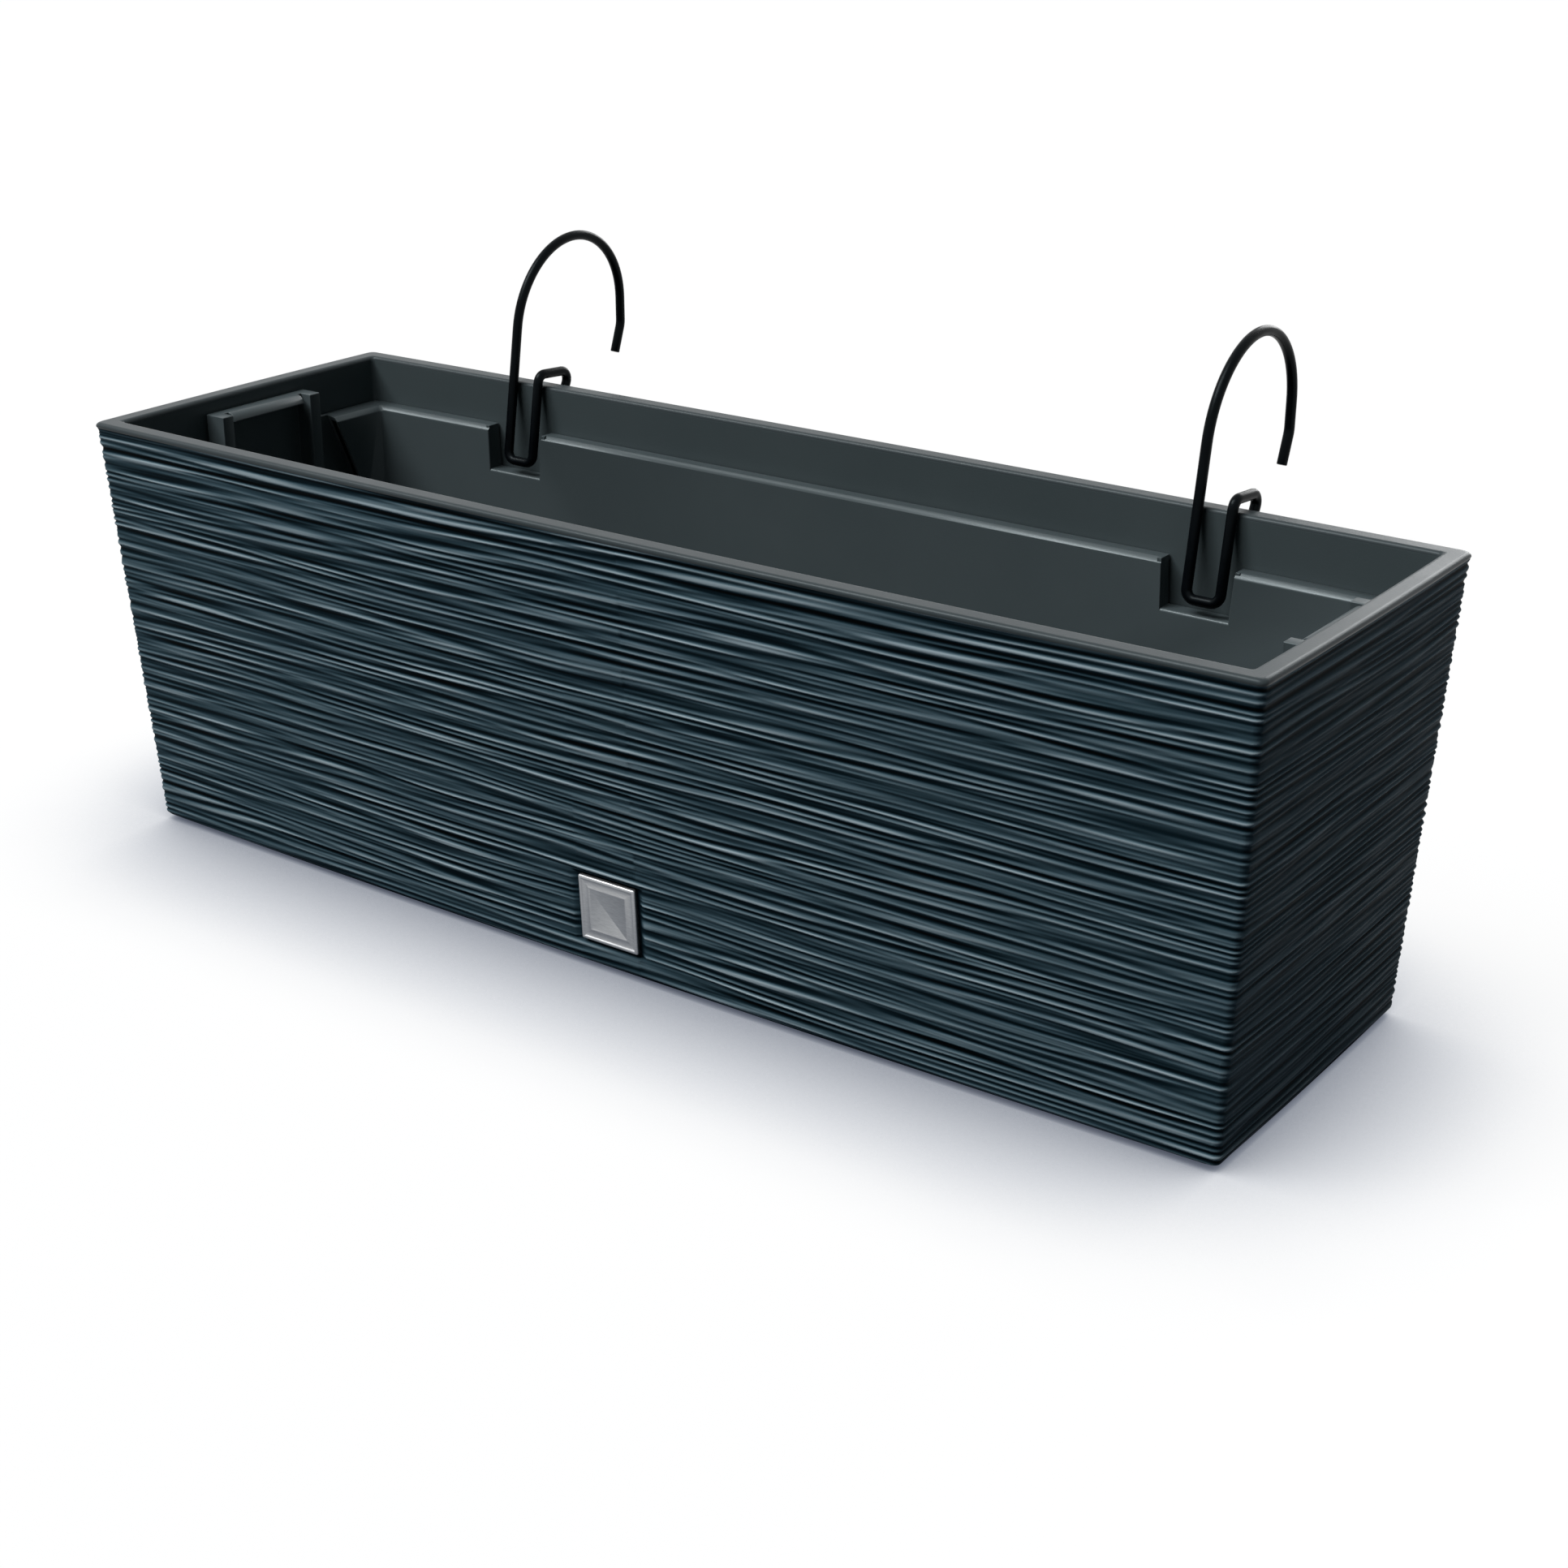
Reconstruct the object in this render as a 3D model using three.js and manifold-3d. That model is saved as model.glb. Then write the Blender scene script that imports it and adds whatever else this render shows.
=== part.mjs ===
// A window box planter: a ribbed outer case, a lift-out insert that stands inside it,
// two wire hooks that clip over the back rim and reach over a railing, and a badge plate.
//
// Millimetres, +Z up. The origin is the centre of the flat foot that the case stands on.
// +X runs along the box, and +Y points to its back, where the hooks are.

import * as THREE from 'three';
import { mergeVertices } from 'three/addons/utils/BufferGeometryUtils.js';
import loadManifold from 'manifold-3d';

const wasm = await loadManifold();
wasm.setup();

// ---------------------------------------------------------------- driving dimensions

// Case, over its rim
const caseLength = 580;
const caseWidth = 184;
const caseHeight = 195;
const longWallBow = 3.2;        // the middle of a long wall stands out past its ends
const endWallBow = 0.8;
const longWallLean = 10.7;      // a long wall's base lies this far in from its rim
const endWallLean = 9;
const outerCornerRadius = 3;
const innerCornerRadius = 2;
const rimWidth = 9.2;
const rimFillet = 1.8;
const wallThickness = 2.8;      // behind the deepest groove
const thickWallDepth = 90;      // the inner face is upright down to here, then follows the wall
const floorThickness = 3.5;
const footHeight = 2.5;
const footInset = 5;

// Ribs on the case's outer walls
const rimBand = 8;              // plain, from the rim's top down to the first groove
const ribCount = 41;
const shallowGroove = 1.0;
const deepGroove = 1.6;
const deepGrooveEvery = 3;
const ribUnevenness = 0.22;     // how far a rib strays from even spacing, as a share of it
const ribWave = 0.9;            // how far a rib rises and falls along a wall
const ribWaveLength = 300;

// Insert
const flangeDrop = 21.8;        // from the rim's top down to the flange's top
const flangeThickness = 2.4;
const flangeGap = 0.5;          // between the flange's edge and the case's inner face
const longLedgeWidth = 8;       // from the case's inner face to the planting space
const endLedgeWidth = 12;
const insertWall = 2.2;
const insertFloor = 2.4;
const insertLean = 7;           // the planting space is this much narrower on each side at its floor
const ledgeFillet = 2;
const seatGap = 0.3;            // between pieces that rest on or against each other

// Hook pockets, in the back of the insert
const pocketSpacing = 363.6;
const pocketTopWidth = 33;
const pocketBottomWidth = 31;
const pocketDepth = 20.7;
const pocketWeb = 2;

// Lifting handles, in recesses at the ends of the insert
const recessTopWidth = 75;
const recessFlare = 0.385;      // how much each side of a recess spreads per millimetre down
const recessSplay = 6;          // how much further each side spreads at the case's wall
const recessDepth = 42;
const handleWidth = 61.7;
const handleDrop = 6.9;         // from the rim's top down to the pillars' tops
const handlePillar = 6.3;
const pillarDepth = 11.5;       // from the insert's end to the pillars' fronts
const bridgeSetBack = 1.5;      // from the pillars' fronts back to the bridge's rolled edge
const bridgeNotch = 2.5;        // between a pillar and the rolled edge
const gripRadius = 4.7;
const gripLipRise = 0.75;       // the roll stops this far above its middle

// Hooks, bent from round wire. Lengths are to the wire's centre line.
const wireDiameter = 4.5;
const archLongRadius = 41.3;    // the arch is a slightly oval arc
const archShortRadius = 36.8;
const archTilt = 51.8;          // degrees, from +Y up to the long radius
const archRise = 23.2;          // from the rim's top up to the arch's centre
const stemLean = 9.4;           // degrees; the stems lean towards the wall as they rise
const stemFromPocketCentre = 4.3;
const stemSpacing = 15.2;
const foldRadius = 4.2;         // at the bottom fold and where the wire turns over the rim
const foldAbovePocket = 6.2;    // from the pocket's floor up to the bottom fold
const saddleRise = 5.6;         // from the rim's top up to the stretch over it
const saddleFall = 1.6;         // how far that stretch falls towards the back
const saddleReach = 11.5;       // how far it runs past the case's outer face
const legKneeDrop = 14;         // from the rim's top down to the short leg's knee
const legDrop = 24;             // and to its end
const tipRun = 13;              // straight stretch down from the arch, before the bent tip
const tipLength = 14.5;
const tipLean = 20;             // degrees, turned in towards the case
const tipBendRadius = 12;

// Badge, a square plate low on the front wall
const badgeSize = 30;
const badgeCentreHeight = 28.1;
const badgeThickness = 2.2;
const badgeBorder = 1.5;
const badgeBorderRise = 0.6;
const badgeCornerRadius = 0.8;
const badgeMargin = 1.4;        // between the badge's edge and its recess
const badgeRecessDepth = 2.4;   // from the ribs' crests

// Fineness of the meshes
const longWallSteps = 10;
const endWallSteps = 3;
const cornerSteps = 2;
const filletSteps = 3;
const wireSides = 10;
const wireStep = 3.2;

// ---------------------------------------------------------------- derived dimensions

// Half sizes are taken at the corners, where the bowed walls meet.
const caseHalf = {
  length: caseLength / 2 - endWallBow,
  width: caseWidth / 2 - longWallBow,
};
const openingHalf = shrink(caseHalf, rimWidth, rimWidth);
const flangeHalf = shrink(openingHalf, flangeGap, flangeGap);
const plantingHalf = shrink(openingHalf, endLedgeWidth, longLedgeWidth);

const caseFloorTop = floorThickness;
const flangeTop = caseHeight - flangeDrop;
const insertBottom = caseFloorTop + seatGap;
const insertFloorTop = insertBottom + insertFloor;
const pocketFloor = flangeTop - pocketDepth;
const recessFloor = flangeTop - recessDepth;
const handleTop = caseHeight - handleDrop;
const bridgeDepth = pillarDepth - bridgeSetBack;
const wireRadius = wireDiameter / 2;

const plastic = { roughness: 0.55, metalness: 0 };
const caseMaterial = new THREE.MeshStandardMaterial({ color: 0x3d4d56, ...plastic });
const insertMaterial = new THREE.MeshStandardMaterial({ color: 0x32383b, ...plastic });
const wireMaterial = new THREE.MeshStandardMaterial({
  color: 0x0b0c0e, roughness: 0.3, metalness: 0.4,
});
const badgeMaterial = new THREE.MeshStandardMaterial({
  color: 0x9b9ea0, roughness: 0.35, metalness: 0.8,
});

// ---------------------------------------------------------------- outlines and solids

function shrink(half, alongX, alongY) {
  return { length: half.length - alongX, width: half.width - alongY };
}

// How far a long wall stands out past its corners at a place along it.
function longBowAt(x, half) {
  return longWallBow * (1 - (x / half.length) ** 2);
}

// A rectangle seen from above, with bowed sides and round corners, anticlockwise.
function planOutline(half, radius) {
  const points = [];
  for (let side = 0; side < 4; side++) {
    const isLong = side % 2 === 1;
    const angle = side * Math.PI / 2;
    const normal = new THREE.Vector2(Math.cos(angle), Math.sin(angle));
    const along = new THREE.Vector2(-normal.y, normal.x);
    const reach = isLong ? half.width : half.length;
    const run = (isLong ? half.length : half.width) - radius;
    const bow = isLong ? longWallBow : endWallBow;
    const steps = isLong ? longWallSteps : endWallSteps;
    for (let i = 0; i <= steps; i++) {
      const t = 2 * i / steps - 1;
      points.push(normal.clone().multiplyScalar(reach + bow * (1 - t * t))
        .addScaledVector(along, run * t));
    }
    const centre = normal.clone().multiplyScalar(reach - radius).addScaledVector(along, run);
    for (let i = 1; i < cornerSteps; i++) {
      const turn = angle + i / cornerSteps * Math.PI / 2;
      points.push(centre.clone().add(
        new THREE.Vector2(Math.cos(turn), Math.sin(turn)).multiplyScalar(radius)));
    }
  }
  return points;
}

function ring(half, radius, z) {
  return planOutline(half, radius).map((p) => new THREE.Vector3(p.x, p.y, z));
}

// A closed solid through rings of equal point counts, with a flat cap on each end ring.
function loft(rings) {
  const count = rings[0].length;
  const points = rings.flat();
  const index = [];
  for (let level = 0; level < rings.length - 1; level++) {
    for (let i = 0; i < count; i++) {
      const a = level * count + i;
      const b = level * count + (i + 1) % count;
      index.push(a, b, b + count, a, b + count, a + count);
    }
  }
  const lastRing = (rings.length - 1) * count;
  const firstCentre = points.push(centreOf(rings[0])) - 1;
  const lastCentre = points.push(centreOf(rings.at(-1))) - 1;
  for (let i = 0; i < count; i++) {
    const next = (i + 1) % count;
    index.push(firstCentre, next, i);
    index.push(lastCentre, lastRing + i, lastRing + next);
  }
  const geometry = new THREE.BufferGeometry().setFromPoints(points);
  geometry.setIndex(index);
  return geometry;
}

function centreOf(points) {
  const sum = new THREE.Vector3();
  points.forEach((p) => sum.add(p));
  return sum.divideScalar(points.length);
}

// A block with four-cornered ends at two heights. Each end lists [x, y] corners in order.
function taperedBlock(lowerCorners, lowerZ, upperCorners, upperZ) {
  const toRing = (corners, z) => {
    const points = corners.map(([x, y]) => new THREE.Vector3(x, y, z));
    const isClockwise = THREE.ShapeUtils.area(points) < 0;
    return isClockwise ? points.reverse() : points;
  };
  return loft([toRing(lowerCorners, lowerZ), toRing(upperCorners, upperZ)]);
}

function box(x0, x1, y0, y1, z0, z1) {
  const corners = [[x0, y0], [x1, y0], [x1, y1], [x0, y1]];
  return taperedBlock(corners, z0, corners, z1);
}

function toSolid(geometry) {
  const bare = geometry.clone();
  bare.deleteAttribute('normal');
  bare.deleteAttribute('uv');
  const merged = mergeVertices(bare, 1e-5);
  return new wasm.Manifold(new wasm.Mesh({
    numProp: 3,
    vertProperties: new Float32Array(merged.attributes.position.array),
    triVerts: new Uint32Array(merged.index.array),
  }));
}

function toGeometry(solid) {
  const mesh = solid.getMesh();
  const geometry = new THREE.BufferGeometry();
  geometry.setAttribute('position', new THREE.BufferAttribute(mesh.vertProperties, 3));
  geometry.setIndex(new THREE.BufferAttribute(mesh.triVerts, 1));
  geometry.computeVertexNormals();
  return geometry;
}

function named(name, geometry, material) {
  const mesh = new THREE.Mesh(geometry, material);
  mesh.name = name;
  return mesh;
}

// ---------------------------------------------------------------- case

// Half size of the case's outer face, at its ribs' crests, at a height.
function caseHalfAt(z) {
  const down = (caseHeight - z) / caseHeight;
  return shrink(caseHalf, endWallLean * down, longWallLean * down);
}

// The ribs, as rings from the bottom up: a crest, then the groove above it. The last
// groove ends at the plain band.
function ribRings() {
  const bottom = footHeight;
  const top = caseHeight - rimBand;
  const pitch = (top - bottom) / ribCount;
  const rings = [];
  const addRing = (place, grooveDepth) => {
    const z = bottom + pitch * place;
    const fade = Math.sin(Math.PI * place / ribCount);
    const half = shrink(caseHalfAt(z), grooveDepth, grooveDepth);
    rings.push(ring(half, outerCornerRadius, z).map((p) => {
      const turn = 2 * Math.PI * p.x / ribWaveLength + p.y / caseWidth + 0.3 * place;
      p.z += ribWave * fade * Math.sin(turn);
      return p;
    }));
  };
  for (let rib = 0; rib < ribCount; rib++) {
    const stray = ribUnevenness * Math.sin(2.4 * rib);
    addRing(rib + 0.4 + stray, 0);
    const isDeep = rib % deepGrooveEvery === 0;
    addRing(Math.min(rib + 0.9 + stray, ribCount - 0.1), isDeep ? deepGroove : shallowGroove);
  }
  addRing(ribCount + 0.2, 0);
  return rings;
}

// The rim's rounded top: out and up over one edge, then in and down over the other.
function rimRings() {
  const rings = [];
  for (let i = 0; i <= filletSteps; i++) {
    const turn = i / filletSteps * Math.PI / 2;
    const inset = rimFillet * (1 - Math.cos(turn));
    const z = caseHeight - rimFillet * (1 - Math.sin(turn));
    rings.push(ring(shrink(caseHalf, inset, inset), outerCornerRadius, z));
  }
  for (let i = filletSteps; i >= 0; i--) {
    const turn = i / filletSteps * Math.PI / 2;
    const inset = rimWidth - rimFillet * (1 - Math.cos(turn));
    const z = caseHeight - rimFillet * (1 - Math.sin(turn));
    rings.push(ring(shrink(caseHalf, inset, inset), innerCornerRadius, z));
  }
  return rings;
}

// Places things on the front wall: x along it, y up it, z out of it from the ribs' crests.
function onFrontWall(height) {
  const lean = Math.atan2(longWallLean, caseHeight);
  const wallY = -(caseHalfAt(height).width + longWallBow);
  return new THREE.Matrix4().makeTranslation(0, wallY, height)
    .multiply(new THREE.Matrix4().makeRotationX(Math.PI / 2 + lean));
}

function badgeRecess() {
  const size = badgeSize + 2 * badgeMargin;
  const aboveCrests = 2;
  const depth = badgeRecessDepth + aboveCrests;
  return new THREE.BoxGeometry(size, size, depth)
    .translate(0, 0, aboveCrests - depth / 2)
    .applyMatrix4(onFrontWall(badgeCentreHeight));
}

function makeCase() {
  const footHalf = shrink(caseHalfAt(0), footInset, footInset);
  const wallInset = deepGroove + wallThickness;
  const floorHalf = shrink(caseHalfAt(caseFloorTop), wallInset, wallInset);
  const body = loft([
    ring(footHalf, outerCornerRadius, 0),
    ring(footHalf, outerCornerRadius, footHeight),
    ring(shrink(caseHalfAt(footHeight), deepGroove, deepGroove), outerCornerRadius, footHeight),
    ...ribRings(),
    ...rimRings(),
    ring(openingHalf, innerCornerRadius, caseHeight - thickWallDepth),
    ring(floorHalf, innerCornerRadius, caseFloorTop),
  ]);
  const solid = toSolid(body).subtract(toSolid(badgeRecess()));
  return named('case', toGeometry(solid), caseMaterial);
}

// ---------------------------------------------------------------- insert

// Half size of the planting space at a height.
function plantingHalfAt(z) {
  const down = (flangeTop - z) / (flangeTop - insertFloorTop);
  return shrink(plantingHalf, insertLean * down, insertLean * down);
}

function insertTub() {
  const underFlange = flangeTop - flangeThickness;
  const outside = (z) => shrink(plantingHalfAt(z), -insertWall, -insertWall);
  const radius = innerCornerRadius;
  return loft([
    ring(outside(insertBottom), radius, insertBottom),
    ring(outside(underFlange), radius, underFlange),
    ring(flangeHalf, radius, underFlange),
    ring(flangeHalf, radius, flangeTop),
    ring(shrink(plantingHalf, -ledgeFillet, -ledgeFillet), radius, flangeTop),
    ring(plantingHalfAt(flangeTop - ledgeFillet), radius, flangeTop - ledgeFillet),
    ring(plantingHalfAt(insertFloorTop), radius, insertFloorTop),
  ]);
}

// A pocket's half width at a height, widening upwards.
function pocketHalfAt(z) {
  const up = (z - pocketFloor) / pocketDepth;
  return (pocketBottomWidth + (pocketTopWidth - pocketBottomWidth) * up) / 2;
}

// A block that follows a pocket's sloping sides, grown sideways by a margin.
function pocketBlock(centreX, margin, y0, y1, z0, z1) {
  const corners = (z) => {
    const half = pocketHalfAt(z) + margin;
    return [[centreX - half, y0], [centreX + half, y0], [centreX + half, y1], [centreX - half, y1]];
  };
  return taperedBlock(corners(z0), z0, corners(z1), z1);
}

function cutPocket(solid, side) {
  const centreX = side * pocketSpacing / 2;
  const farEdge = Math.abs(centreX) + pocketTopWidth / 2 + pocketWeb;
  const back = flangeHalf.width + longBowAt(farEdge, flangeHalf);
  const insideWall = plantingHalf.width + longBowAt(centreX, plantingHalf) + insertWall / 4;
  const shell = pocketBlock(centreX, pocketWeb, insideWall, back, pocketFloor - pocketWeb, flangeTop);
  const beyond = 2 * longLedgeWidth;
  const hollow = pocketBlock(centreX, 0, insideWall - beyond, back + beyond,
    pocketFloor, flangeTop + beyond);
  return solid.add(toSolid(shell)).subtract(toSolid(hollow));
}

// A block that follows a recess's sloping, splayed sides, grown sideways by a margin.
// frontAt gives the block's inner face, towards the planting space, at a height.
function recessBlock(side, margin, frontAt, back, z0, z1) {
  const corners = (z) => {
    const nearHalf = recessTopWidth / 2 + recessFlare * (flangeTop - z) + margin;
    const farHalf = nearHalf + recessSplay;
    const front = frontAt(z);
    return [[side * front, -nearHalf], [side * back, -farHalf],
      [side * back, farHalf], [side * front, nearHalf]];
  };
  return taperedBlock(corners(z0), z0, corners(z1), z1);
}

// The part of the bridge that fingers pull on: a plate with its front edge rolled down.
function handleBridge(side, length) {
  const back = flangeHalf.length;
  const front = back - bridgeDepth;
  const innerRadius = gripRadius - insertWall;
  const rollX = front + gripRadius;
  const rollZ = handleTop - gripRadius;
  const lipTurn = Math.PI - Math.asin(gripLipRise / gripRadius);
  const profile = new THREE.Shape();
  profile.moveTo(back, handleTop);
  profile.lineTo(rollX, handleTop);
  profile.absarc(rollX, rollZ, gripRadius, Math.PI / 2, lipTurn, false);
  profile.absarc(rollX, rollZ, innerRadius, lipTurn, Math.PI / 2, true);
  profile.lineTo(back, handleTop - insertWall);
  const geometry = new THREE.ExtrudeGeometry(profile, {
    depth: length, bevelEnabled: false, curveSegments: 5,
  });
  geometry.rotateX(Math.PI / 2).translate(0, length / 2, 0);
  return side > 0 ? geometry : geometry.rotateZ(Math.PI);
}

function addHandle(solid, side) {
  const back = flangeHalf.length;
  const plateFront = back - insertWall;
  const pillarFront = back - pillarDepth;
  const halfWidth = handleWidth / 2;
  const insideWall = (z) => plantingHalfAt(z).length + endWallBow + insertWall / 4;
  const inPlanting = (z) => insideWall(z) - pillarDepth;
  const overlap = 1;

  const shell = recessBlock(side, insertWall, insideWall, back, recessFloor - insertWall, flangeTop);
  const hollow = recessBlock(side, 0, inPlanting, plateFront, recessFloor, flangeTop + overlap);
  const plate = box(side * back, side * plateFront, -halfWidth, halfWidth, recessFloor, handleTop);
  let result = solid.add(toSolid(shell)).subtract(toSolid(hollow)).add(toSolid(plate));
  for (const end of [-1, 1]) {
    const pillar = box(side * back, side * pillarFront,
      end * halfWidth, end * (halfWidth - handlePillar), recessFloor - overlap, handleTop);
    result = result.add(toSolid(pillar));
  }
  const pillarGap = halfWidth - handlePillar;
  const rollStart = back - bridgeDepth + gripRadius;
  const bridge = box(side * back, side * rollStart, -pillarGap - overlap, pillarGap + overlap,
    handleTop - insertWall, handleTop);
  return result.add(toSolid(bridge))
    .add(toSolid(handleBridge(side, 2 * (pillarGap - bridgeNotch))));
}

function makeInsert() {
  let solid = toSolid(insertTub());
  for (const side of [-1, 1]) {
    solid = cutPocket(solid, side);
    solid = addHandle(solid, side);
  }
  return named('insert', toGeometry(solid), insertMaterial);
}

// ---------------------------------------------------------------- hooks

// The arch's oval arc in the YZ plane, from one turn round its centre to another.
class ArchArc extends THREE.Curve {
  constructor(centre, fromTurn, toTurn) {
    super();
    Object.assign(this, { centre, fromTurn, toTurn });
  }

  getPoint(t) {
    const turn = this.fromTurn + (this.toTurn - this.fromTurn) * t;
    const along = archLongRadius * Math.cos(turn);
    const across = archShortRadius * Math.sin(turn);
    return new THREE.Vector3(0, along, across)
      .applyAxisAngle(new THREE.Vector3(1, 0, 0), THREE.MathUtils.degToRad(archTilt))
      .add(this.centre);
  }
}

// The turn round the arch's centre at which its arc runs at a lean from upright.
function archTurnAt(lean) {
  const tilt = THREE.MathUtils.degToRad(archTilt) + lean;
  return -Math.atan(archShortRadius / archLongRadius * Math.tan(tilt));
}

// Adds straight stretches through the points to a path, with round bends between them.
function addBentRun(path, points, bendRadius) {
  let from = points[0];
  for (let i = 1; i < points.length - 1; i++) {
    const corner = points[i];
    const back = points[i - 1].clone().sub(corner).normalize();
    const ahead = points[i + 1].clone().sub(corner).normalize();
    const halfAngle = back.angleTo(ahead) / 2;
    const cut = bendRadius / Math.tan(halfAngle);
    const bendStart = corner.clone().addScaledVector(back, cut);
    const bendEnd = corner.clone().addScaledVector(ahead, cut);
    // Control points that turn a cubic curve into a circular arc.
    const handle = 4 / 3 * Math.tan((Math.PI - 2 * halfAngle) / 4) * bendRadius / cut;
    path.add(new THREE.LineCurve3(from, bendStart));
    path.add(new THREE.CubicBezierCurve3(bendStart,
      bendStart.clone().lerp(corner, handle), bendEnd.clone().lerp(corner, handle), bendEnd));
    from = bendEnd;
  }
  path.add(new THREE.LineCurve3(from, points.at(-1)));
}

// The wire's centre line, from its free tip over the arch, down into the pocket and back
// up over the rim. x = 0 is the middle of the pocket. The stems rest on the rim's inner
// face, just under its rounded edge, and the short leg grips its outer face.
function hookPath() {
  const stemX = -stemFromPocketCentre;
  const returnX = stemX + stemSpacing;
  const nearX = pocketSpacing / 2 - pocketBottomWidth / 2;
  const farX = pocketSpacing / 2 + stemFromPocketCentre;
  const outerFace = caseHalf.width + longBowAt(nearX, caseHalf);
  const innerFace = openingHalf.width + longBowAt(farX, openingHalf);
  const lean = THREE.MathUtils.degToRad(stemLean);
  const contact = new THREE.Vector3(stemX, innerFace - seatGap - wireRadius / Math.cos(lean),
    caseHeight - rimFillet);
  const stemYAt = (z) => contact.y + Math.tan(lean) * (z - contact.z);

  const farTurn = archTurnAt(0);
  const nearTurn = archTurnAt(lean) + Math.PI;
  const nearOffset = new ArchArc(new THREE.Vector3(), farTurn, nearTurn).getPoint(1);
  const archZ = caseHeight + archRise;
  const archY = stemYAt(archZ + nearOffset.z) - nearOffset.y;
  const arch = new ArchArc(new THREE.Vector3(stemX, archY, archZ), farTurn, nearTurn);

  const archFar = arch.getPoint(0);
  const tipBend = archFar.clone().add(new THREE.Vector3(0, 0, -tipRun));
  const tipAngle = THREE.MathUtils.degToRad(tipLean);
  const tip = tipBend.clone().add(
    new THREE.Vector3(0, -Math.sin(tipAngle), -Math.cos(tipAngle)).multiplyScalar(tipLength));

  const foldZ = pocketFloor + foldAbovePocket;
  const saddleZ = caseHeight + saddleRise;
  const legY = outerFace + seatGap + wireRadius;
  const at = (x, y, z) => new THREE.Vector3(x, y, z);
  const runs = [
    arch.getPoint(1),
    at(stemX, stemYAt(foldZ), foldZ),
    at(returnX, stemYAt(foldZ), foldZ),
    at(returnX, stemYAt(saddleZ), saddleZ),
    at(returnX, outerFace + saddleReach, saddleZ - saddleFall),
    at(returnX, legY, caseHeight - legKneeDrop),
    at(returnX, legY, caseHeight - legDrop),
  ];

  const path = new THREE.CurvePath();
  addBentRun(path, [tip, tipBend, archFar], tipBendRadius);
  path.add(arch);
  addBentRun(path, runs, foldRadius);
  return path;
}

function makeHook(name, side) {
  const path = hookPath();
  const section = new THREE.Shape();
  section.absarc(0, 0, wireRadius, 0, 2 * Math.PI, false);
  const geometry = new THREE.ExtrudeGeometry(section, {
    extrudePath: path,
    steps: Math.round(path.getLength() / wireStep),
    curveSegments: wireSides / 2,
    bevelEnabled: false,
  });
  const hook = named(name, geometry, wireMaterial);
  hook.position.x = side * pocketSpacing / 2;
  return hook;
}

// ---------------------------------------------------------------- badge

function roundedSquare(size, radius) {
  const half = size / 2;
  const inner = half - radius;
  const shape = new THREE.Shape();
  shape.absarc(inner, inner, radius, 0, Math.PI / 2, false);
  shape.absarc(-inner, inner, radius, Math.PI / 2, Math.PI, false);
  shape.absarc(-inner, -inner, radius, Math.PI, 1.5 * Math.PI, false);
  shape.absarc(inner, -inner, radius, 1.5 * Math.PI, 2 * Math.PI, false);
  return shape;
}

// A plain plate with a raised border, seated on the floor of its recess.
function makeBadge() {
  const options = { bevelEnabled: false, curveSegments: 3 };
  const plate = new THREE.ExtrudeGeometry(roundedSquare(badgeSize, badgeCornerRadius),
    { ...options, depth: badgeThickness });
  const panelSize = badgeSize - 2 * badgeBorder;
  const panel = new THREE.ExtrudeGeometry(roundedSquare(panelSize, badgeCornerRadius / 2),
    { ...options, depth: badgeThickness });
  panel.translate(0, 0, badgeThickness - badgeBorderRise);
  const solid = toSolid(plate).subtract(toSolid(panel));
  const badge = named('badge', toGeometry(solid), badgeMaterial);
  badge.position.z = seatGap - badgeRecessDepth;
  const placed = new THREE.Group();
  placed.applyMatrix4(onFrontWall(badgeCentreHeight));
  placed.add(badge);
  return placed;
}

// ---------------------------------------------------------------- assembly

const planter = new THREE.Group();
planter.name = 'window_box_planter';
planter.add(
  makeCase(),
  makeInsert(),
  makeHook('hook_left', -1),
  makeHook('hook_right', 1),
  makeBadge(),
);

export default planter;
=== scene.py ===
"""Looks for the window box planter: materials, ribbed case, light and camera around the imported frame."""

import math

import bmesh
import bpy
import numpy as np
from mathutils import Matrix, Vector


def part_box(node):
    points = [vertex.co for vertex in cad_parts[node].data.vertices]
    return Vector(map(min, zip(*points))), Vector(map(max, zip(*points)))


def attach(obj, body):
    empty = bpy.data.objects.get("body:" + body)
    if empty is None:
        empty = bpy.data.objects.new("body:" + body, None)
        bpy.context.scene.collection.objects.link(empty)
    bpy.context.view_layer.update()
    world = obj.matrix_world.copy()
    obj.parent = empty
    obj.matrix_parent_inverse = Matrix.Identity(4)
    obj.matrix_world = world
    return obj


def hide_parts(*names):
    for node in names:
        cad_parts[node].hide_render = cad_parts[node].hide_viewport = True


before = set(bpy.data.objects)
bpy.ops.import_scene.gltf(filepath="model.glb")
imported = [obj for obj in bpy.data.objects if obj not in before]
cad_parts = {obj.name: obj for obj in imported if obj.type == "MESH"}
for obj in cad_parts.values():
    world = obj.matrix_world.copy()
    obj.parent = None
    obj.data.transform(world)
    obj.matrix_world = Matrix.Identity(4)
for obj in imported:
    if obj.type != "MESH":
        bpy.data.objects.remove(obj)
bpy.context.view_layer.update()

MM = 0.001

# ---------------------------------------------------------------- sizes, in millimetres

CASE_BOX = [[v / MM for v in corner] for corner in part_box("case")]
BADGE_BOX = [[v / MM for v in corner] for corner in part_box("badge")]
HEIGHT = CASE_BOX[1][2]

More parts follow.
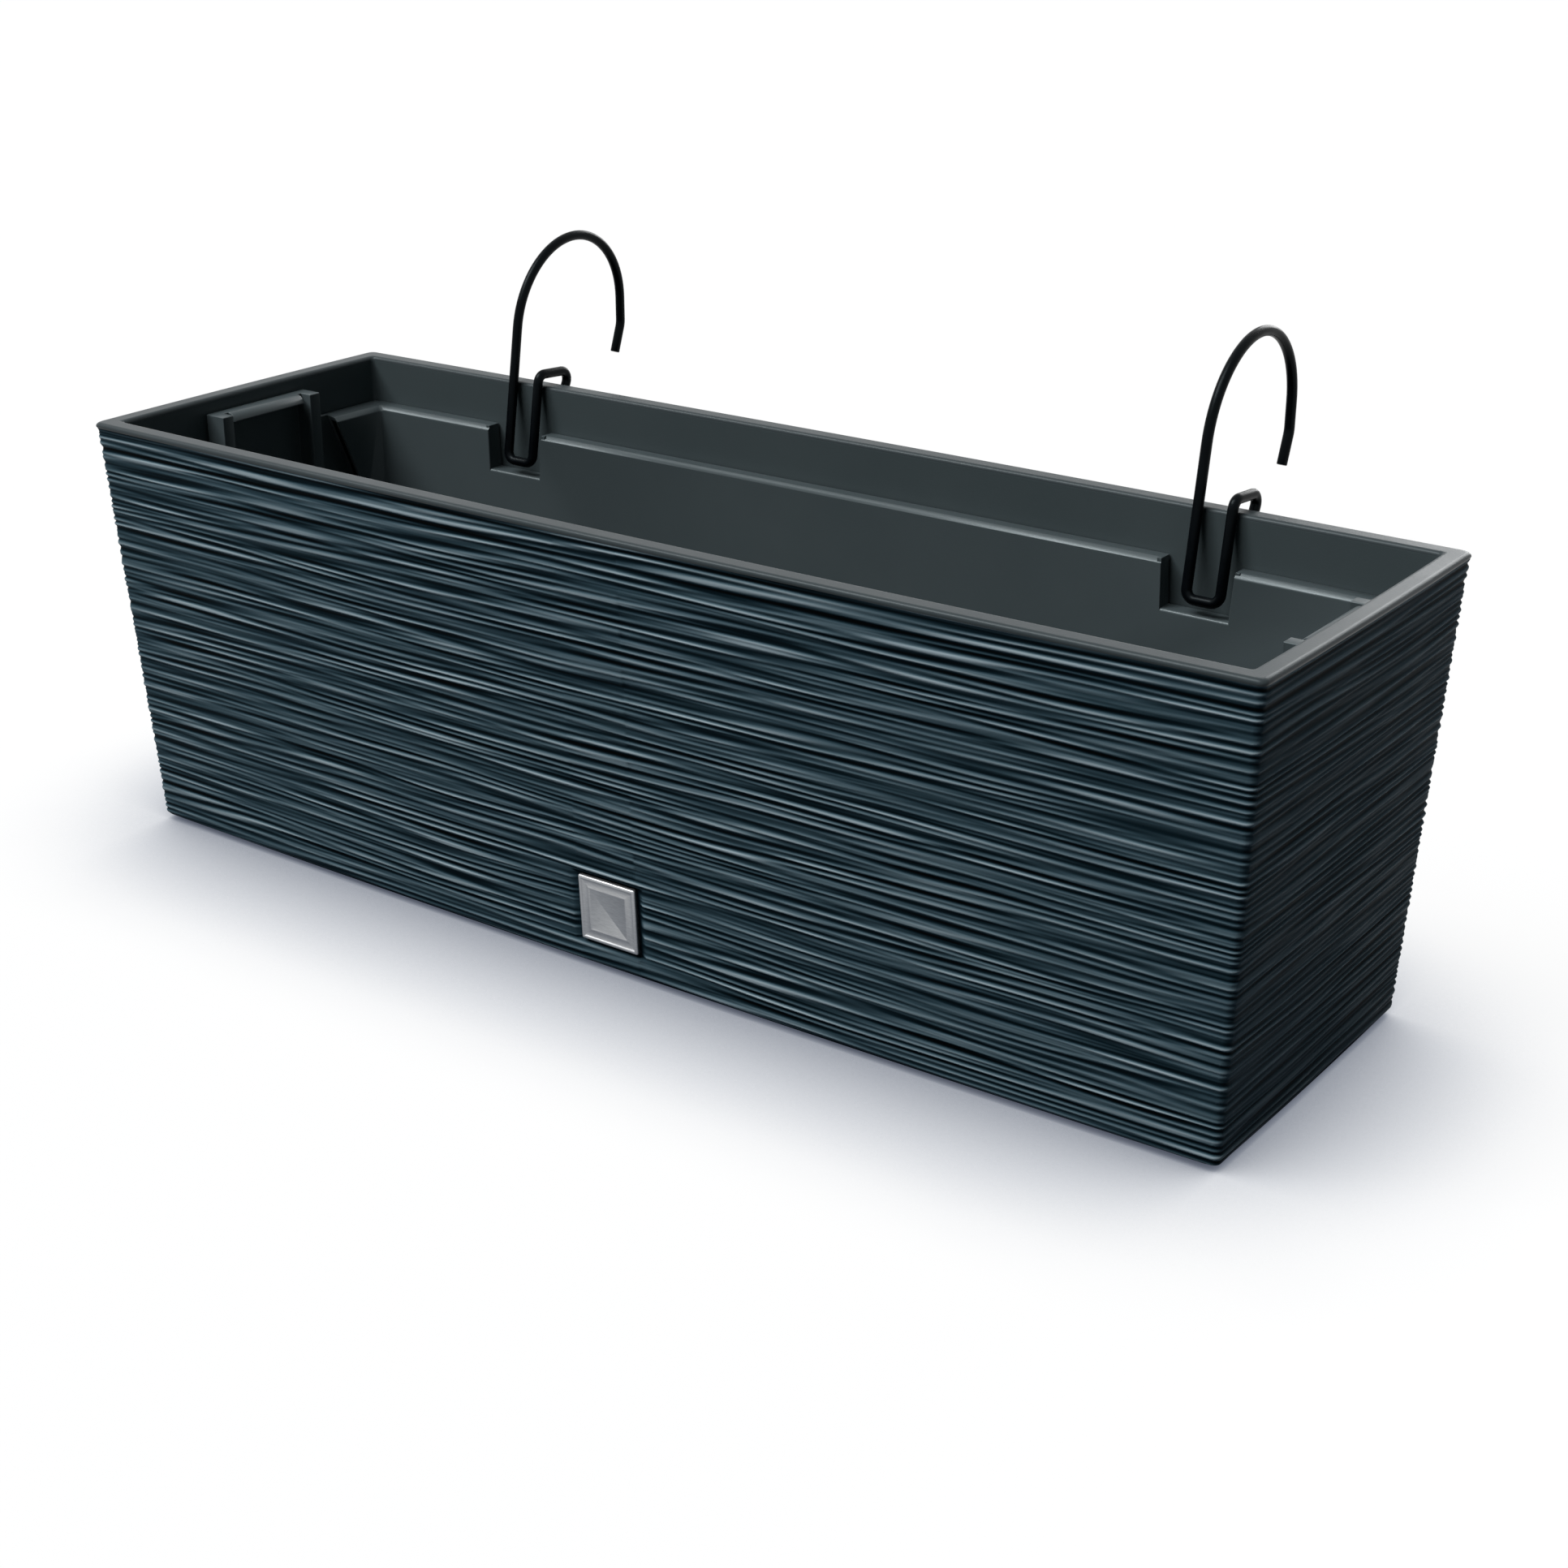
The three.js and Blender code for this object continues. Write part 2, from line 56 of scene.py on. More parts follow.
HALF_LENGTH = 289.2       # of the case at its top corners, where its walls don't bow out
HALF_WIDTH = 88.8
LONG_BOW = 3.2            # how far the middle of a long wall stands out
END_BOW = 0.8
LONG_LEAN = 10.7          # how far a long wall leans in, from the rim to the ground
END_LEAN = 9.0
OUTER_RADIUS = 3.0        # of the upright corners
INNER_RADIUS = 2.0
RIM_WIDTH = 9.2
RIM_FILLET = 1.8
RIM_FILLET_STEPS = 5
RIM_FLAT_MARGIN = 0.3     # keeps the flat top of the rim flat, up to its two fillets
THICK_WALL_BOTTOM = HEIGHT - 90
FLOOR_TOP = 3.5
FLOOR_INSET = 4.4
FOOT_HEIGHT = 2.5
FOOT_INSET = 5.0
FLAT_MARGIN = 2.0         # from the edge of the foot or the floor to the fan that fills it
EDGE_HOLD = 0.5           # between two rings that keep the edge between them sharp

RIB_STEP = 0.36           # between rings of the ribbed wall
RIB_DEPTH = 1.5
RIB_PITCH = 3.3
WALL_STEP = 5.0           # between points along a wall
WALL_MARGIN = 0.6         # from the foot and from the rim's fillet to the nearest ribbed ring
TONE_WINDOW = 5.0         # a rib's painted highlight or shade is set against the wall this far above and below it
RIBS_END_BELOW_RIM = 1.6  # the ribs fade out over this height
WALL_ROUNDS_TO_FOOT = 1.5
WALL_FOOT_INSET = 1.2

BAND_BOTTOM = HEIGHT - 11.5
UNDER_RIM_GROOVE = HEIGHT - 4.2
LEVEL_GROOVES = ((UNDER_RIM_GROOVE, 0.7), (BAND_BOTTOM, 0.9))   # height, and half of the width
LEVEL_GROOVE_DEPTH = 0.85                                       # as a share of the ribs' depth
BAND_SHALLOWER = 0.3                                            # likewise, for the band between them
BAND_FADE = 2.0

BADGE_MARGIN = 1.4
RECESS_DEPTH = 2.4
RECESS_EDGE = 0.05        # between the two points or rings that make an edge of the recess
POINT_CLEARANCE = 0.4     # the wall's other points keep this far from such an edge
RING_CLEARANCE = 0.1

PLAIN_TONE = 0.55         # 0 is the ribbed plastic's darkest colour, painted shade in a groove, and 1 its lightest, a painted highlight on a crest
# Painted shade under the case: the foot is near black, and its upper edge under the wall darker still.
FOOT_SHADE = 0.1
FOOT_EDGE_SHADE = 0.05
# Painted shade in the badge's recess.
RECESS_SHADE = 0.25
FLOOR_TONE = 0.5


# ---------------------------------------------------------------- mesh helpers

def mesh_object(name, vertices, faces, material, smooth=True):
    mesh = bpy.data.meshes.new(name)
    mesh.from_pydata([tuple(v) for v in vertices], [], faces)
    mesh.validate()
    mesh.update()
    for polygon in mesh.polygons:
        polygon.use_smooth = smooth
    mesh.materials.append(material)
    piece = bpy.data.objects.new(name, mesh)
    bpy.context.scene.collection.objects.link(piece)
    return piece


def outline(half_length, half_width, radius, long_places, end_places, corner_steps=4):
    """A rectangle with bowed sides and round corners, anticlockwise, as an (n, 2) array."""
    points = []
    for side in range(4):
        is_long = side % 2 == 1
        angle = side * math.pi / 2
        normal = np.array([math.cos(angle), math.sin(angle)])
        along = np.array([-normal[1], normal[0]])
        reach = half_width if is_long else half_length
        run = (half_length if is_long else half_width) - radius
        bow = LONG_BOW if is_long else END_BOW
        for t in long_places if is_long else end_places:
            points.append(normal * (reach + bow * (1 - t * t)) + along * run * t)
        centre = normal * (reach - radius) + along * run
        for i in range(1, corner_steps):
            turn = angle + i / corner_steps * math.pi / 2
            points.append(centre + radius * np.array([math.cos(turn), math.sin(turn)]))
    return np.array(points)


def even_places(length, step):
    """Places along a wall, from -1 to 1."""
    count = max(2, round(length / step))
    return np.linspace(-1, 1, count + 1)


def case_half(z):
    """Half of the case's length and of its width at a height, at its corners."""
    down = (HEIGHT - z) / HEIGHT
    return HALF_LENGTH - END_LEAN * down, HALF_WIDTH - LONG_LEAN * down


def inset(half, amount):
    return half[0] - amount, half[1] - amount


def clamp(value):
    return min(1.0, max(0.0, value))


# ---------------------------------------------------------------- materials

class Nodes:
    """Builds a Principled material with a few procedural nodes."""

    def __init__(self, name):
        self.material = bpy.data.materials.new(name)
        self.material.use_nodes = True
        self.tree = self.material.node_tree
        self.shader = self.tree.nodes["Principled BSDF"]
        self.place = self.tree.nodes.new("ShaderNodeTexCoord").outputs["Object"]

    def link(self, a, b):
        self.tree.links.new(a, b)

    def noise(self, scale, detail=3.0, roughness=0.5, stretch=None):
        node = self.tree.nodes.new("ShaderNodeTexNoise")
        node.inputs["Scale"].default_value = scale
        node.inputs["Detail"].default_value = detail
        node.inputs["Roughness"].default_value = roughness
        source = self.place
        if stretch:
            mapping = self.tree.nodes.new("ShaderNodeMapping")
            mapping.inputs["Scale"].default_value = stretch
            self.link(source, mapping.inputs["Vector"])
            source = mapping.outputs["Vector"]
        self.link(source, node.inputs["Vector"])
        return node.outputs["Fac"]

    def ramp(self, value, stops):
        node = self.tree.nodes.new("ShaderNodeValToRGB")
        elements = node.color_ramp.elements
        while len(elements) < len(stops):
            elements.new(0.5)
        for element, (place, colour) in zip(elements, stops):
            element.position = place
            element.color = (*colour, 1)
        self.link(value, node.inputs["Fac"])
        return node.outputs["Color"]

    def map_range(self, value, low, high):
        node = self.tree.nodes.new("ShaderNodeMapRange")
        node.inputs["To Min"].default_value = low
        node.inputs["To Max"].default_value = high
        self.link(value, node.inputs["Value"])
        return node.outputs["Result"]

    def mix(self, a, b, factor, blend="MIX"):
        node = self.tree.nodes.new("ShaderNodeMix")
        node.data_type = "RGBA"
        node.blend_type = blend
        node.inputs["Factor"].default_value = factor
        self.link(a, node.inputs[6])
        self.link(b, node.inputs[7])
        return node.outputs[2]

    def bump(self, heights, strength, distance):
        node = self.tree.nodes.new("ShaderNodeBump")
        node.inputs["Strength"].default_value = strength
        node.inputs["Distance"].default_value = distance
        self.link(heights, node.inputs["Height"])
        self.link(node.outputs["Normal"], self.shader.inputs["Normal"])

    def attribute(self, name):
        node = self.tree.nodes.new("ShaderNodeAttribute")
        node.attribute_name = name
        return node.outputs["Fac"]

    def colour(self, socket):
        self.link(socket, self.shader.inputs["Base Color"])

    def roughness(self, socket):
        self.link(socket, self.shader.inputs["Roughness"])


def ribbed_plastic():
    m = Nodes("ribbed_plastic")
    # Painted highlight and shade: the colour follows the crest attribute, near black in the grooves and
    # light on the crests.
    crest = m.attribute("crest")
    base = m.ramp(crest, [
        (0.0, (0.0004, 0.0012, 0.0018)),
        (0.25, (0.005, 0.014, 0.020)),
        (0.5, (0.034, 0.064, 0.082)),
        (0.75, (0.105, 0.160, 0.190)),
        (1.0, (0.32, 0.40, 0.44)),
    ])
    streaks = m.ramp(m.noise(9, 4, 0.6, (1, 1, 22)), [(0.3, (0.93, 0.93, 0.94)), (0.7, (1.06, 1.05, 1.04))])
    m.colour(m.mix(base, streaks, 1.0, "MULTIPLY"))
    m.roughness(m.map_range(m.noise(60, 3), 0.36, 0.50))
    m.bump(m.noise(900, 2), 0.12, 0.0004)
    m.shader.inputs["Specular IOR Level"].default_value = 0.01
    return m.material


def smooth_plastic(name, dark, light, low, high, gloss):
    m = Nodes(name)
    m.colour(m.ramp(m.noise(14, 4, 0.55), [(0.25, dark), (0.75, light)]))
    m.roughness(m.map_range(m.noise(45, 3), low, high))
    m.bump(m.noise(1400, 2), 0.10, 0.0003)
    m.shader.inputs["Specular IOR Level"].default_value = gloss
    m.shader.inputs["Specular Tint"].default_value = (0.86, 0.97, 1.0, 1)
    return m.material


def black_wire():
    m = Nodes("black_wire")
    m.colour(m.ramp(m.noise(120, 3), [(0.3, (0.0006, 0.001, 0.0016)), (0.8, (0.002, 0.003, 0.004))]))
    m.roughness(m.map_range(m.noise(260, 3), 0.22, 0.36))
    m.bump(m.noise(700, 2), 0.08, 0.0002)
    m.shader.inputs["Specular IOR Level"].default_value = 0.06
    m.shader.inputs["Specular Tint"].default_value = (0.80, 0.95, 1.0, 1)
    return m.material


def badge_metal():
    m = Nodes("badge_metal")
    brushed = m.noise(300, 4, 0.6, (1, 1, 14))
    m.colour(m.ramp(brushed, [(0.3, (0.30, 0.31, 0.32)), (0.7, (0.42, 0.43, 0.44))]))
    m.roughness(m.map_range(m.noise(400, 2), 0.30, 0.44))
    m.bump(brushed, 0.06, 0.0002)
    m.shader.inputs["Metallic"].default_value = 0.85
    return m.material


RIBBED = ribbed_plastic()
# The rim and the inside walls are the case's one plastic in two colours set by how light falls on them: the
# up-facing rim is painted darker and the inside walls lighter, painted shade and painted light.
RIM = smooth_plastic("rim_plastic", (0.031, 0.040, 0.044), (0.039, 0.049, 0.053), 0.30, 0.40, 0.14)
INSIDE = smooth_plastic("inside_plastic", (0.052, 0.068, 0.073), (0.060, 0.077, 0.082), 0.30, 0.40, 0.20)
INSERT = smooth_plastic("insert_plastic", (0.048, 0.062, 0.067), (0.056, 0.071, 0.076), 0.27, 0.36, 0.30)
WIRE = black_wire()
BADGE = badge_metal()


# ---------------------------------------------------------------- case

def corner_turns(i, j, seed):
    """A repeatable random angle for each corner of a lattice, in turns."""
    n = (i * 73856093) ^ (j * 19349663) ^ (seed * 83492791)
    n = (n ^ (n >> 13)) * 1274126177 & 0x7FFFFFFF
    n = (n ^ (n >> 16)) * 668265263 & 0x7FFFFFFF
    return (n & 0xFFFF) / 65536.0


def lattice_noise(u, v, seed, period):
    """Smooth noise from about -1 to 1, which repeats after a whole number of cells in u."""
    i0 = np.floor(u).astype(np.int64)
    j0 = np.floor(v).astype(np.int64)
    fu, fv = u - i0, v - j0
    ease_u = fu ** 3 * (fu * (fu * 6 - 15) + 10)
    ease_v = fv ** 3 * (fv * (fv * 6 - 15) + 10)
    full_swing = 1.5
    total = 0
    for di in (0, 1):
        for dj in (0, 1):
            angle = corner_turns((i0 + di) % period, j0 + dj, seed) * 2 * math.pi
            slope = np.cos(angle) * (fu - di) + np.sin(angle) * (fv - dj)
            weight = (ease_u if di else 1 - ease_u) * (ease_v if dj else 1 - ease_v)
            total = total + slope * weight
    return total * full_swing


def rib_heights(turn, perimeter, z):
    """How high the ribs stand at points of one ring, from 0 in a groove to 1 on a crest.

    turn runs from 0 to 1 round the case. The ribs are long, nearly level and uneven, and
    they merge and split along a wall."""
    def layer(length, pitch, seed, level):
        """Noise whose patches are about this long along the wall and this far apart up it."""
        cells = max(1, round(perimeter / length))
        return lattice_noise(turn * cells, level / pitch, seed, cells)

    ground = np.full(len(turn), float(z))
    level = ground + 1.3 * layer(190, 42, 3, ground) + 0.3 * layer(70, 15, 5, ground)
    drift = 5.0 * layer(150, 9, 7, level)
    rows = np.cos(2 * math.pi * level / RIB_PITCH + drift) * (0.75 + 0.6 * layer(90, 7, 9, level))
    uneven = 0.62 * layer(84, 1.9, 11, level) + 0.18 * layer(56, 1.15, 21, level)
    broad = 0.16 * layer(130, 4.4, 31, level)
    steepness = 1.6
    return (np.tanh(steepness * (0.27 * rows + uneven + broad)) + 1) / 2


def local_contrast(heights, window):
    """How high each point stands above the mean of its part of the wall, from 0 to 1: the ribbed plastic's
    painted highlight on a crest and painted shade in a groove.
    """
    contrast = 1.35
    count = len(heights)
    sums = np.vstack([np.zeros(heights.shape[1]), np.cumsum(heights, axis=0)])
    first = np.clip(np.arange(count) - window, 0, count)
    last = np.clip(np.arange(count) + window + 1, 0, count)
    mean = (sums[last] - sums[first]) / (last - first)[:, None]
    return np.clip(0.5 + contrast * (heights - mean), 0, 1)


def recess_range():
    return BADGE_BOX[0][2] - BADGE_MARGIN, BADGE_BOX[1][2] + BADGE_MARGIN


def recess_reach():
    return (BADGE_BOX[1][0] - BADGE_BOX[0][0]) / 2 + BADGE_MARGIN


def double_edges(low, high):
    return [low - RECESS_EDGE, low, high, high + RECESS_EDGE]


def outer_levels():
    """Heights of the ribbed rings, with two close ones at the lower and upper edge of the recess."""
    start = FOOT_HEIGHT + WALL_MARGIN
    stop = HEIGHT - RIM_FILLET - WALL_MARGIN
    count = round((stop - start) / RIB_STEP)
    edges = double_edges(*recess_range())
    levels = np.linspace(start, stop, count + 1)
    return sorted([z for z in levels if all(abs(z - e) > RING_CLEARANCE for e in edges)] + edges)


def long_wall_places():
    """Places along a long wall, with two close ones at each end of the recess."""
    edges = list(np.array(double_edges(-recess_reach(), recess_reach())) / HALF_LENGTH)
    places = even_places(2 * HALF_LENGTH, WALL_STEP)
    clear = POINT_CLEARANCE / HALF_LENGTH
    return np.array(sorted([t for t in places if all(abs(t - e) > clear for e in edges)] + edges))


class Rings:
    """The case as closed rings of points: under the foot, up the wall, over the rim and down inside."""

    def __init__(self):
        self.long_places = long_wall_places()
        self.end_places = even_places(2 * HALF_WIDTH, WALL_STEP)
        self.points = []
        self.tones = []
        self.kinds = []

    def plan(self, half, radius):
        return outline(*half, radius, self.long_places, self.end_places)

    def put(self, points, tones, kind):
        self.points.append(points)
        self.tones.append(tones)
        self.kinds.append(kind)

    def add(self, half, radius, z, kind, tone=PLAIN_TONE):
        plan = self.plan(half, radius)
        self.put(np.column_stack([plan, np.full(len(plan), z)]), np.full(len(plan), tone), kind)

    def add_foot(self):
        foot = inset(case_half(0), FOOT_INSET)
        # painted shade on the foot
        self.add(inset(foot, FLAT_MARGIN), OUTER_RADIUS, 0.0, "rib", FOOT_SHADE)
        self.add(foot, OUTER_RADIUS, 0.0, "rib", FOOT_SHADE)
        self.add(foot, OUTER_RADIUS, FOOT_HEIGHT, "rib", FOOT_EDGE_SHADE)
        self.add(inset(case_half(FOOT_HEIGHT), RIB_DEPTH), OUTER_RADIUS, FOOT_HEIGHT, "rib", FOOT_SHADE)

    def add_ribbed_wall(self):
        levels = outer_levels()
        top = self.plan((HALF_LENGTH, HALF_WIDTH), OUTER_RADIUS)
        steps = np.linalg.norm(np.roll(top, -1, axis=0) - top, axis=1)
        perimeter = steps.sum()
        turns = (np.cumsum(steps) - steps[0]) / perimeter
        all_heights = np.array([rib_heights(turns, perimeter, z) for z in levels])
        for z, heights in zip(levels, all_heights):
            for groove_z, reach in LEVEL_GROOVES:
                heights *= 1 - LEVEL_GROOVE_DEPTH * math.exp(-((z - groove_z) / reach) ** 2)
        # painted highlight and shade of each rib, from its height above its neighbours
        all_tones = local_contrast(all_heights, round(TONE_WINDOW / RIB_STEP))
        for z, heights, tones in zip(levels, all_heights, all_tones):
            self.add_ribbed_ring(z, heights, tones)

    def add_ribbed_ring(self, z, heights, tones):
        half = case_half(z)
        plan = self.plan(half, OUTER_RADIUS)
        inward = self.plan(inset(half, 1), OUTER_RADIUS) - plan
        inward /= np.maximum(np.linalg.norm(inward, axis=1, keepdims=True), 1e-6)
        depth = RIB_DEPTH * (1 - BAND_SHALLOWER * clamp((z - BAND_BOTTOM) / BAND_FADE))
        near_top = clamp((HEIGHT - RIM_FILLET - z) / RIBS_END_BELOW_RIM)
        near_foot = clamp((z - FOOT_HEIGHT) / WALL_ROUNDS_TO_FOOT)
        drop = depth * (1 - heights) * near_top + WALL_FOOT_INSET * (1 - near_foot)
        ring = np.column_stack([plan + inward * drop[:, None], np.full(len(plan), z)])

        low, high = recess_range()
        slack = 1e-4
        in_recess = (np.abs(plan[:, 0]) <= recess_reach() + slack) & (plan[:, 1] < 0)
        in_recess &= low - slack <= z <= high + slack
        ring[in_recess, 1] = -(half[1] + LONG_BOW) + RECESS_DEPTH
        # the badge's recess takes painted shade
        self.put(ring, np.where(in_recess, RECESS_SHADE, tones), "rib")

    def add_rim(self):
        top = (HALF_LENGTH, HALF_WIDTH)
        turns = [i / RIM_FILLET_STEPS * math.pi / 2 for i in range(RIM_FILLET_STEPS + 1)]
        for turn in turns:
            self.add(inset(top, RIM_FILLET * (1 - math.cos(turn))), OUTER_RADIUS,
                HEIGHT - RIM_FILLET * (1 - math.sin(turn)), "rim")
        self.add(inset(top, RIM_FILLET + RIM_FLAT_MARGIN), OUTER_RADIUS, HEIGHT, "rim")
        self.add(inset(top, RIM_WIDTH - RIM_FILLET - RIM_FLAT_MARGIN), INNER_RADIUS, HEIGHT, "rim")
        for turn in reversed(turns):
            self.add(inset(top, RIM_WIDTH - RIM_FILLET * (1 - math.cos(turn))), INNER_RADIUS,
                HEIGHT - RIM_FILLET * (1 - math.sin(turn)), "rim")

    def add_inside(self):
        opening = inset((HALF_LENGTH, HALF_WIDTH), RIM_WIDTH)
        floor = inset(case_half(FLOOR_TOP), FLOOR_INSET)
        under_fillet = HEIGHT - RIM_FILLET - 0.4
        for half, z in (
            (opening, under_fillet),
            (opening, THICK_WALL_BOTTOM + EDGE_HOLD),
            (opening, THICK_WALL_BOTTOM),
            (floor, FLOOR_TOP + EDGE_HOLD),
            (floor, FLOOR_TOP),
            (inset(floor, FLAT_MARGIN), FLOOR_TOP),
        ):
            self.add(half, INNER_RADIUS, z, "inside")

    def joined(self):
        """Points, faces and the faces' kinds. A fan closes the foot's underside, and another the floor."""
        count = len(self.points[0])
        faces = []
        kinds = []
        for level, kind in enumerate(self.kinds[1:]):
            a = level * count
            for i in range(count):
                j = (i + 1) % count
                faces.append((a + i, a + j, a + count + j, a + count + i))
                kinds.append(kind)
        points = np.concatenate(self.points)
        under = len(points)
        last = under - count
        points = np.vstack([points, points[:count].mean(0), points[last:].mean(0)])
        for i in range(count):
            j = (i + 1) % count
            faces.append((under, j, i))
            faces.append((under + 1, last + i, last + j))
            kinds += [self.kinds[0], self.kinds[-1]]
        return points, faces, kinds


def make_case():
    rings = Rings()
    rings.add_foot()
    rings.add_ribbed_wall()
    rings.add_rim()
    rings.add_inside()
    points, faces, kinds = rings.joined()
    piece = mesh_object("planter_case", points * MM, faces, RIBBED)
    piece.data.materials.append(RIM)
    piece.data.materials.append(INSIDE)
    slots = {"rib": 0, "rim": 1, "inside": 2}
    for polygon, kind in zip(piece.data.polygons, kinds):
        polygon.material_index = slots[kind]
    attribute = piece.data.attributes.new("crest", "FLOAT", "POINT")
    tones = np.concatenate(rings.tones + [np.array([FOOT_SHADE, FLOOR_TONE])])
    attribute.data.foreach_set("value", tones.astype(np.float32))
    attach(piece, "case")
    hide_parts("case")


# ---------------------------------------------------------------- hooks

POCKET_X = 181.8          # from the box's middle to the middle of a pocket
LEDGE_DROP = 21.8         # from the rim down to the insert's ledge
POCKET_DEPTH = 20.7
FOLD_RISE = 6.2           # of the wire's centre over the pocket's bottom
FOLD_Z = HEIGHT - LEDGE_DROP - POCKET_DEPTH + FOLD_RISE
FOLD_RADIUS = 4.2
WIRE_RADIUS = 2.25
WIRE_GAP = 0.3            # between the wire and either face of the rim
ARCH_LONG, ARCH_SHORT, ARCH_TILT = 41.3, 36.8, math.radians(51.8)
ARCH_RISE = 23.2
ARCH_STEPS = 40
STEM_LEAN = math.radians(9.4)
STEM_OFFSET, STEM_SPACING = -4.3, 15.2
WALL_LOOK = 15.5          # a little nearer the box's middle than either leg, where the rim bows out most
SADDLE_RISE, SADDLE_FALL, SADDLE_REACH = 5.6, 1.6, 11.5
LEG_KNEE, LEG_END = 14, 24
TIP_RUN, TIP_LENGTH, TIP_LEAN, TIP_BEND = 13, 14.5, math.radians(20), 12
WIRE_SIDES = 20
WIRE_END_ROUNDING = 0.35
LEAST_STEP = 0.2          # points of the path that lie nearer together are left out


def arch_point(turn):
    along = ARCH_LONG * math.cos(turn)
    across = ARCH_SHORT * math.sin(turn)
    return Vector((0, along * math.cos(ARCH_TILT) - across * math.sin(ARCH_TILT),
        along * math.sin(ARCH_TILT) + across * math.cos(ARCH_TILT)))


def arch_turn(lean):
    return -math.atan(ARCH_SHORT / ARCH_LONG * math.tan(ARCH_TILT + lean))


def bent_run(points, radius, steps=7):
    """Points along straight stretches with round bends between them."""
    run = [points[0]]
    for before, corner, after in zip(points, points[1:], points[2:]):
        back = (before - corner).normalized()
        ahead = (after - corner).normalized()
        half_angle = back.angle(ahead) / 2
        cut = radius / math.tan(half_angle)
        centre = corner + (back + ahead).normalized() * (radius / math.sin(half_angle))
        start = corner + back * cut - centre
        stop = corner + ahead * cut - centre
        sweep = start.angle(stop)
        axis = start.cross(stop).normalized()
        for i in range(steps + 1):
            turned = Matrix.Rotation(sweep * i / steps, 3, axis) @ start
            run.append(centre + turned)
    run.append(points[-1])
    return run


def hook_path():
    """The wire's centre line in millimetres. x = 0 is the middle of the pocket."""
    near_x = POCKET_X - WALL_LOOK
    far_x = POCKET_X - STEM_OFFSET
    outer_face = HALF_WIDTH + LONG_BOW * (1 - (near_x / HALF_LENGTH) ** 2)
    inner_face = HALF_WIDTH - RIM_WIDTH + LONG_BOW * (1 - (far_x / (HALF_LENGTH - RIM_WIDTH)) ** 2)
    contact_y = inner_face - WIRE_GAP - WIRE_RADIUS / math.cos(STEM_LEAN)
    contact_z = HEIGHT - RIM_FILLET

    def stem_y(z):
        return contact_y + math.tan(STEM_LEAN) * (z - contact_z)

    far_turn, near_turn = arch_turn(0), arch_turn(STEM_LEAN) + math.pi
    near = arch_point(near_turn)
    arch_z = HEIGHT + ARCH_RISE
    centre = Vector((STEM_OFFSET, stem_y(arch_z + near.z) - near.y, arch_z))
    arch = [centre + arch_point(far_turn + (near_turn - far_turn) * i / ARCH_STEPS)
        for i in range(ARCH_STEPS + 1)]

    bend = arch[0] - Vector((0, 0, TIP_RUN))
    tip = bend - Vector((0, math.sin(TIP_LEAN), math.cos(TIP_LEAN))) * TIP_LENGTH
    back_x = STEM_OFFSET + STEM_SPACING
    saddle_z = HEIGHT + SADDLE_RISE
    leg_y = outer_face + WIRE_GAP + WIRE_RADIUS
    lower = [
        arch[-1],
        Vector((STEM_OFFSET, stem_y(FOLD_Z), FOLD_Z)),
        Vector((back_x, stem_y(FOLD_Z), FOLD_Z)),
        Vector((back_x, stem_y(saddle_z), saddle_z)),
        Vector((back_x, outer_face + SADDLE_REACH, saddle_z - SADDLE_FALL)),
        Vector((back_x, leg_y, HEIGHT - LEG_KNEE)),
        Vector((back_x, leg_y, HEIGHT - LEG_END)),
    ]
    return bent_run([tip, bend, arch[0]], TIP_BEND)[:-1] + arch + bent_run(lower, FOLD_RADIUS)[1:]


def tube(name, path, radius, material):
    """A closed round tube along a path, whose ends are slightly rounded."""
    tangents = []
    for i, point in enumerate(path):
        before = path[max(0, i - 1)]
        after = path[min(len(path) - 1, i + 1)]
        tangents.append((after - before).normalized())
    across = tangents[0].orthogonal().normalized()
    rounding, part = WIRE_END_ROUNDING, WIRE_END_ROUNDING * 0.3
    first, start = path[0], tangents[0]
    last, end = path[-1], tangents[-1]
    stations = [
        (first, start, radius - rounding),
        (first + start * part, start, radius - part),
        (first + start * rounding, start, radius),
    ]
    stations += [(p, t, radius) for p, t in list(zip(path, tangents))[1:-1]]
    stations += [
        (last - end * rounding, end, radius),
        (last - end * part, end, radius - part),
        (last, end, radius - rounding),
    ]
    vertices = []
    for point, tangent, size in stations:
        across = (across - tangent * across.dot(tangent)).normalized()
        upward = tangent.cross(across)
        for k in range(WIRE_SIDES):
            angle = 2 * math.pi * k / WIRE_SIDES
            vertices.append(point + (across * math.cos(angle) + upward * math.sin(angle)) * size)
    faces = []
    for level in range(len(stations) - 1):
        for k in range(WIRE_SIDES):
            a, b = level * WIRE_SIDES + k, level * WIRE_SIDES + (k + 1) % WIRE_SIDES
            faces.append((a, b, b + WIRE_SIDES, a + WIRE_SIDES))
    faces.append(tuple(reversed(range(WIRE_SIDES))))
    faces.append(tuple(range(len(vertices) - WIRE_SIDES, len(vertices))))
    return mesh_object(name, [v * MM for v in vertices], faces, material)


def make_hook(node, side):
    shift = Vector((side * POCKET_X, 0, 0))
    path = [p + shift for p in hook_path()]
    spaced = [path[0]]
    for point in path[1:]:
        if (point - spaced[-1]).length > LEAST_STEP:
            spaced.append(point)
    piece = tube(f"wire_{node}", spaced, WIRE_RADIUS, WIRE)
    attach(piece, node)
    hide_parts(node)


# ---------------------------------------------------------------- insert

INSERT_ROUNDING = 1.3     # widest, in millimetres
ROUNDING_SEGMENTS = 3
SHARP_ANGLE = 35          # in degrees: a flatter edge stays as it is
MOST_OF_ROOM = 0.42       # an edge's rounding takes at most this share of the shortest edge beside it
MANY_CORNERS = 8
POCKET_REACH = 22
POCKET_LIP_Y = 74.5
POCKET_LIP_BELOW_FOLD = 12
HANDLE_REACH = 40         # the handles are this near the ends
SHORT_LIP = 5
LONG_EDGE = 20


